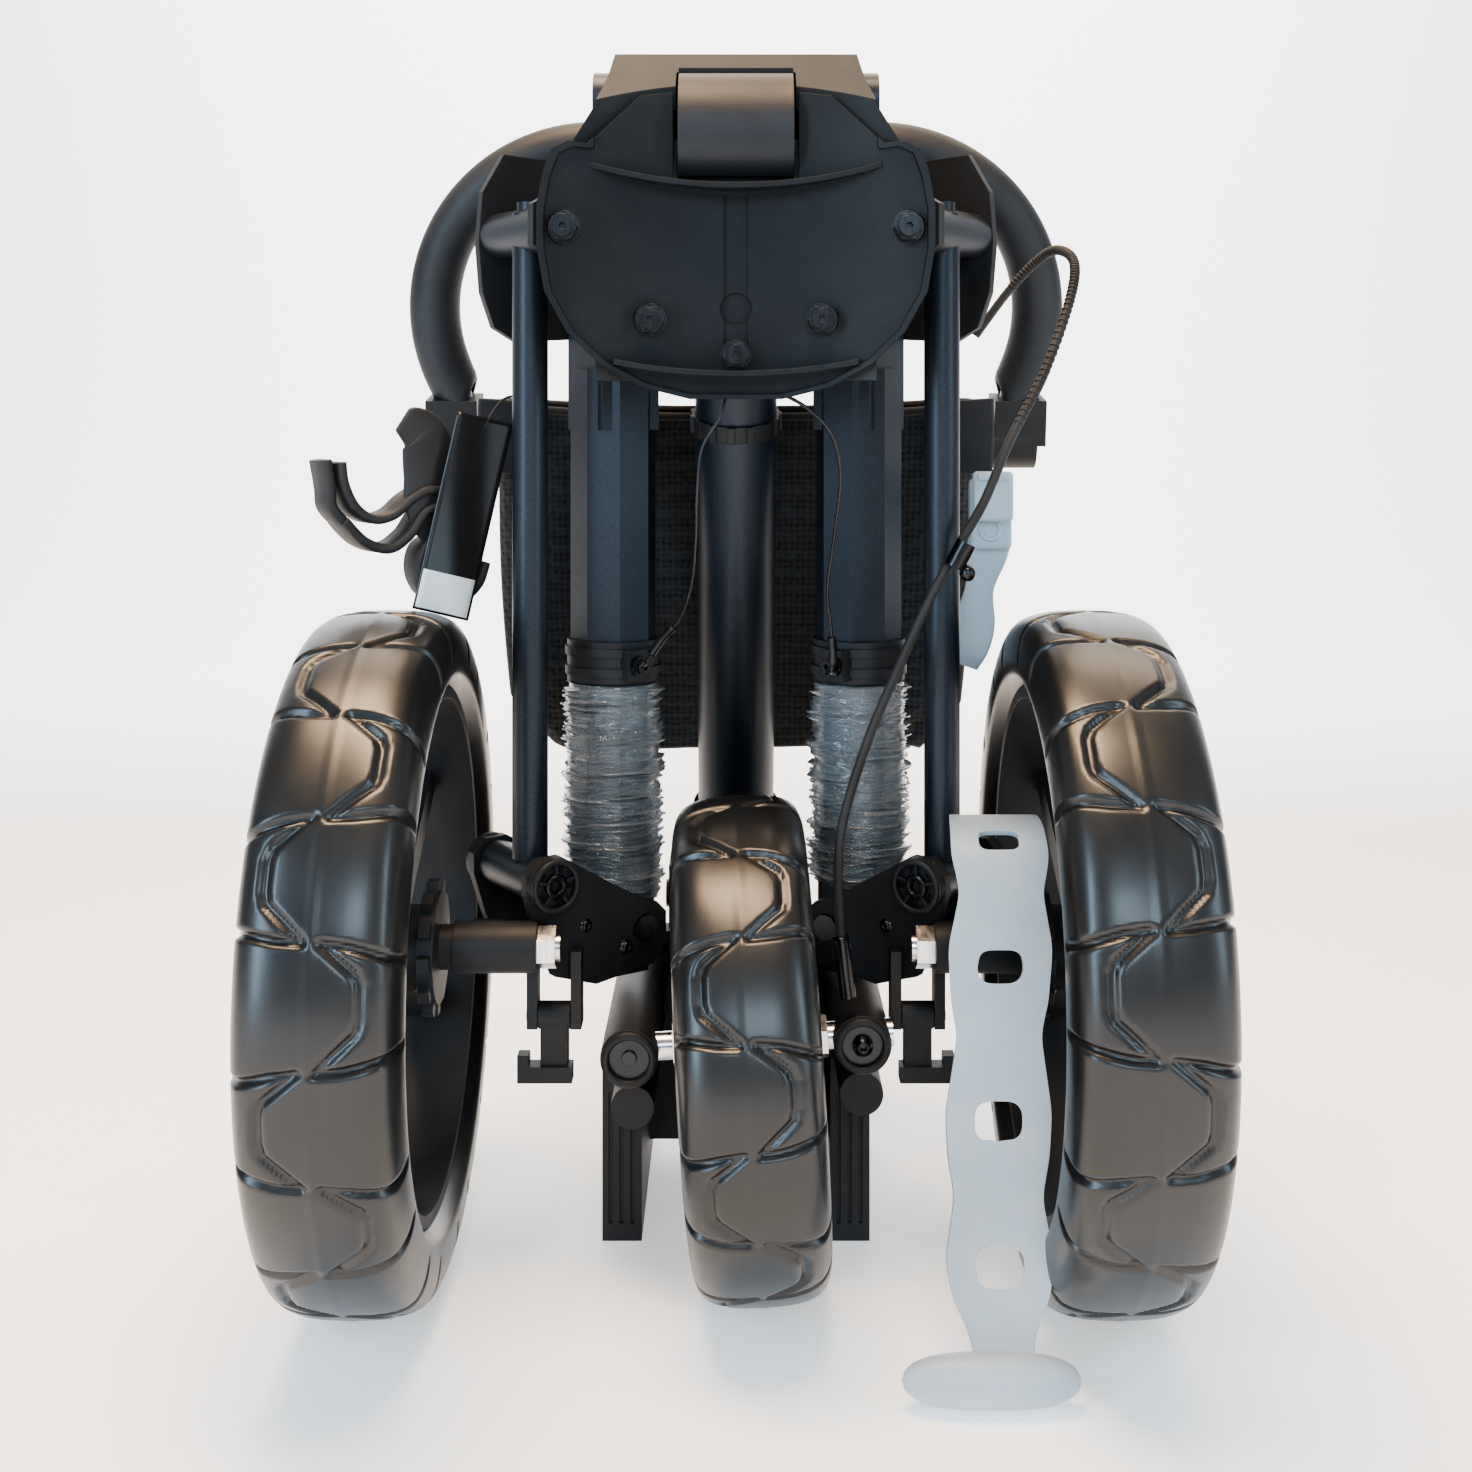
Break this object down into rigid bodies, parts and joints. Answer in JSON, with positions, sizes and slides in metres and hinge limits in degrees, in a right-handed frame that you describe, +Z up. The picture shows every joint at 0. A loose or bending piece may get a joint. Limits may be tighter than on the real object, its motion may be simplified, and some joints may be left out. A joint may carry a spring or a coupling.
{
  "type": "folded golf push cart",
  "caption": "Folded push cart standing on its wheels, with hinged legs, a swinging front arm and a folding mast with a loop handle.",
  "frame": {"origin": "on the floor, under the middle of the folded cart's footprint", "axes": "+Z up, -Y toward the side with the bag rest plate and the front wheel, +X to the right as seen from that side"},
  "size_m": [0.368, 0.3908, 0.538],
  "materials": {
    "black_plastic": "fine moulded texture",
    "painted_tube": "satin metallic blue-black",
    "tyre_rubber": "smooth solid foam tyre",
    "dark_steel": "black zinc",
    "bright_steel": "bright zinc",
    "clear_film": "clear crinkled film",
    "mesh_fabric": "open black mesh",
    "black_rubber": "soft rubber",
    "grey_silicone": "soft silicone",
    "tag_card": "laminated card",
    "grey_plastic": "semi gloss"
  },
  "bodies": {
    "hub": {"hub_housing": "black_plastic", "hub_saddle": "black_plastic", "hub_cross_tube": "painted_tube", "hub_barrel": "black_plastic", "bag_rest_plate": "black_plastic", "plate_bolts": "dark_steel", "plate_centre_bolt": "dark_steel", "hub_cheeks_left": "black_plastic", "hub_cheeks_right": "black_plastic", "hub_pivot_pins": "dark_steel", "hub_cross_pins": "dark_steel"},
    "leg_left": {"leg_tube_left": "painted_tube", "leg_collar_left": "black_plastic", "collar_bolt_left": "dark_steel", "shipping_sleeve_left": "clear_film", "lanyard_left": "dark_steel"},
    "leg_right": {"leg_tube_right": "painted_tube", "leg_collar_right": "black_plastic", "collar_bolt_right": "dark_steel", "shipping_sleeve_right": "clear_film", "lanyard_right": "dark_steel"},
    "rod_left": {"stay_rod_left": "painted_tube"},
    "rod_right": {"stay_rod_right": "painted_tube", "brake_cable": "black_plastic", "cable_clamp": "dark_steel"},
    "carrier_left": {"wheel_carrier_left": "black_plastic", "carrier_pins_left": "dark_steel", "rear_axle_left": "bright_steel"},
    "carrier_right": {"wheel_carrier_right": "black_plastic", "carrier_pins_right": "dark_steel", "rear_axle_right": "bright_steel", "strap_grey": "grey_silicone"},
    "wheel_left": {"rear_tyre_left": "tyre_rubber", "rear_rim_left": "black_plastic"},
    "wheel_right": {"rear_tyre_right": "tyre_rubber", "rear_rim_right": "black_plastic"},
    "pawl_left": {"brake_pawl_left": "black_plastic"},
    "pawl_right": {"brake_pawl_right": "black_plastic"},
    "arm": {"arm_tube": "painted_tube", "fork_crown": "black_plastic", "fork_hinge_pin": "dark_steel"},
    "arm_ring": {"arm_collar": "black_plastic"},
    "fork": {"fork_yoke": "black_plastic", "fork_caps": "black_plastic", "fork_axle": "bright_steel"},
    "front_wheel": {"front_tyre": "tyre_rubber", "front_rim": "black_plastic"},
    "mast": {"mast_tube": "painted_tube", "mast_hinge": "black_plastic", "mast_hinge_pins": "dark_steel", "pouch": "mesh_fabric", "strap_black": "black_rubber", "swing_tag": "tag_card", "buckle_body": "grey_plastic"},
    "buckle": {"buckle_lever": "grey_plastic"},
    "mast_upper": {"mast_upper_tube": "painted_tube", "handle_yoke": "black_plastic"},
    "handle": {"handle_clamps": "black_plastic", "handle_loop": "painted_tube", "handle_grip": "black_rubber"}
  },
  "joints": [
    {"name": "leg_left_spread", "type": "hinge", "parent": "hub", "child": "leg_left", "pos_m": [-0.05736, 0.01055, 0.432], "axis": [-0.5736, 0.8192, 0], "range_deg": [0, 44], "deforming": ["lanyard_left"]},
    {"name": "leg_right_spread", "type": "hinge", "parent": "hub", "child": "leg_right", "pos_m": [0.05736, 0.01055, 0.432], "axis": [-0.5736, -0.8192, 0], "range_deg": [0, 44], "deforming": ["lanyard_right"]},
    {"name": "rod_left_swing", "type": "hinge", "parent": "hub", "child": "rod_left", "pos_m": [-0.09218, -0.02531, 0.459], "axis": [-0.5736, 0.8192, 0], "range_deg": [0, 44]},
    {"name": "rod_right_swing", "type": "hinge", "parent": "hub", "child": "rod_right", "pos_m": [0.09218, -0.02531, 0.459], "axis": [-0.5736, -0.8192, 0], "range_deg": [0, 44]},
    {"name": "carrier_left_level", "type": "hinge", "parent": "leg_left", "child": "carrier_left", "pos_m": [-0.05736, 0.01055, 0.144], "axis": [-0.5736, 0.8192, 0], "range_deg": [-44, 0]},
    {"name": "carrier_right_level", "type": "hinge", "parent": "leg_right", "child": "carrier_right", "pos_m": [0.05736, 0.01055, 0.144], "axis": [-0.5736, -0.8192, 0], "range_deg": [-44, 0]},
    {"name": "rear_wheel_left_spin", "type": "hinge", "parent": "carrier_left", "child": "wheel_left", "pos_m": [-0.153, -0.04939, 0.146], "axis": [1, 0, 0], "continuous": true},
    {"name": "rear_wheel_right_spin", "type": "hinge", "parent": "carrier_right", "child": "wheel_right", "pos_m": [0.153, -0.04939, 0.146], "axis": [1, 0, 0], "continuous": true},
    {"name": "brake_pawl_left_swing", "type": "hinge", "parent": "carrier_left", "child": "pawl_left", "pos_m": [-0.08, -0.03539, 0.112], "axis": [1, 0, 0], "range_deg": [-12, 12]},
    {"name": "brake_pawl_right_swing", "type": "hinge", "parent": "carrier_right", "child": "pawl_right", "pos_m": [0.08, -0.03539, 0.112], "axis": [1, 0, 0], "range_deg": [-12, 12]},
    {"name": "front_arm_swing", "type": "hinge", "parent": "hub", "child": "arm", "pos_m": [0, -0.00939, 0.44], "axis": [-1, 0, 0], "range_deg": [0, 36]},
    {"name": "arm_ring_turn", "type": "hinge", "parent": "arm", "child": "arm_ring", "pos_m": [0, 0.0142, 0.3741], "axis": [0, -0.3371, 0.9415], "range_deg": [-30, 30]},
    {"name": "fork_unfold", "type": "hinge", "parent": "arm", "child": "fork", "pos_m": [0, 0.10185, 0.12932], "axis": [1, 0, 0], "range_deg": [0, 54]},
    {"name": "front_wheel_spin", "type": "hinge", "parent": "fork", "child": "front_wheel", "pos_m": [0.00622, -0.04939, 0.10538], "axis": [0.9982, 0, 0.0593], "continuous": true},
    {"name": "mast_unfold", "type": "hinge", "parent": "hub", "child": "mast", "pos_m": [0, 0.05461, 0.458], "axis": [1, 0, 0], "range_deg": [0, 120]},
    {"name": "mast_extend", "type": "hinge", "parent": "mast", "child": "mast_upper", "pos_m": [0, 0.17668, 0.22979], "axis": [-1, 0, 0], "range_deg": [0, 144]},
    {"name": "handle_angle", "type": "hinge", "parent": "mast_upper", "child": "handle", "pos_m": [0, 0.12861, 0.362], "axis": [-1, 0, 0], "range_deg": [0, 60]},
    {"name": "buckle_lever_open", "type": "hinge", "parent": "mast", "child": "buckle", "pos_m": [0.122, 0.02161, 0.318], "axis": [1, 0, 0], "range_deg": [0, 80]}
  ],
  "couplings": [
    {"joint": "leg_right_spread", "follows": "leg_left_spread", "ratio": 1},
    {"joint": "rod_left_swing", "follows": "leg_left_spread", "ratio": 1},
    {"joint": "rod_right_swing", "follows": "leg_left_spread", "ratio": 1},
    {"joint": "carrier_left_level", "follows": "leg_left_spread", "ratio": -1},
    {"joint": "carrier_right_level", "follows": "leg_left_spread", "ratio": -1},
    {"joint": "front_arm_swing", "follows": "leg_left_spread", "ratio": 0.8},
    {"joint": "fork_unfold", "follows": "leg_left_spread", "ratio": 1.2},
    {"joint": "mast_extend", "follows": "mast_unfold", "ratio": 1.2}
  ]
}
